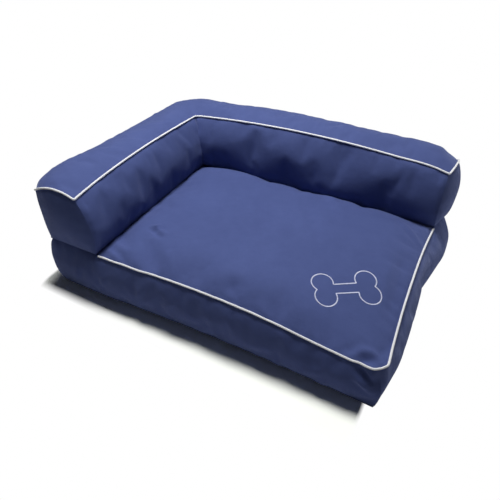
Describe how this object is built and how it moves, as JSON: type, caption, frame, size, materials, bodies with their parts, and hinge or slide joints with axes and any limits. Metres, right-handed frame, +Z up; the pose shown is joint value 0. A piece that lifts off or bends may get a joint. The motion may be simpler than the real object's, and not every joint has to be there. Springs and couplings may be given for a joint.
{
  "type": "dog sofa bed",
  "caption": "Rectangular dog bed: a crowned boxed mattress with an L-shaped bolster along its left side and back, piped seams and zipped covers.",
  "frame": {"origin": "middle of the mattress's footprint, midway between its side seams and between its front and back seams, on the floor", "axes": "+Z up; -Y to the open front; the arm lies along -X and the back along +Y"},
  "size_m": [0.856, 0.6424, 0.3097],
  "materials": {
    "cover": "navy woven polyester, matt, with a fine plain weave",
    "piping": "white woven piping over a round cord",
    "thread": "pale lilac satin embroidery thread",
    "foam": "open-cell foam",
    "fibre": "white polyester fibre",
    "bottom_cloth": "dark anti-slip cloth with small raised dots",
    "zip_tape": "woven navy tape",
    "zip_teeth": "navy nylon coil",
    "zip_metal": "nickel-plated zinc"
  },
  "bodies": {
    "root": {"base_foam": "foam", "base_wadding": "fibre", "base_bottom_panel": "bottom_cloth", "base_boxing": "cover", "base_back_upper": "cover", "base_back_lower": "cover", "base_seat_panel": "cover", "base_piping": "piping", "arm_filling": "fibre", "back_filling": "fibre", "bolster_under_panel": "cover", "bolster_top_panel": "cover", "arm_inner_panel": "cover", "back_inner_panel": "cover", "arm_outer_panel": "cover", "back_outer_upper": "cover", "back_outer_lower": "cover", "back_outer_side": "cover", "arm_end_panel": "cover", "back_end_panel": "cover", "bolster_piping": "piping", "embroidered_bone": "thread", "base_zip_tapes": "zip_tape", "base_zip_teeth": "zip_teeth", "base_zip_stops": "zip_metal", "back_zip_tapes": "zip_tape", "back_zip_teeth": "zip_teeth", "back_zip_stops": "zip_metal"},
    "base_zip_runner": {"base_zip_slider": "zip_metal"},
    "base_zip_tab": {"base_zip_pull": "zip_metal"},
    "back_zip_runner": {"back_zip_slider": "zip_metal"},
    "back_zip_tab": {"back_zip_pull": "zip_metal"}
  },
  "joints": [
    {"name": "base_zip_slide", "type": "slide", "parent": "root", "child": "base_zip_runner", "axis": [1, 0, 0], "range_m": [0, 0.5864]},
    {"name": "base_zip_tab_turn", "type": "hinge", "parent": "base_zip_runner", "child": "base_zip_tab", "pos_m": [-0.2932, 0.32075, 0.06984], "axis": [0, 0, 1], "range_deg": [0, 180]},
    {"name": "back_zip_slide", "type": "slide", "parent": "root", "child": "back_zip_runner", "axis": [1, 0, 0], "range_m": [0, 0.4864]},
    {"name": "back_zip_tab_turn", "type": "hinge", "parent": "back_zip_runner", "child": "back_zip_tab", "pos_m": [-0.2042, 0.32475, 0.20954], "axis": [0, 0, 1], "range_deg": [0, 180]}
  ]
}
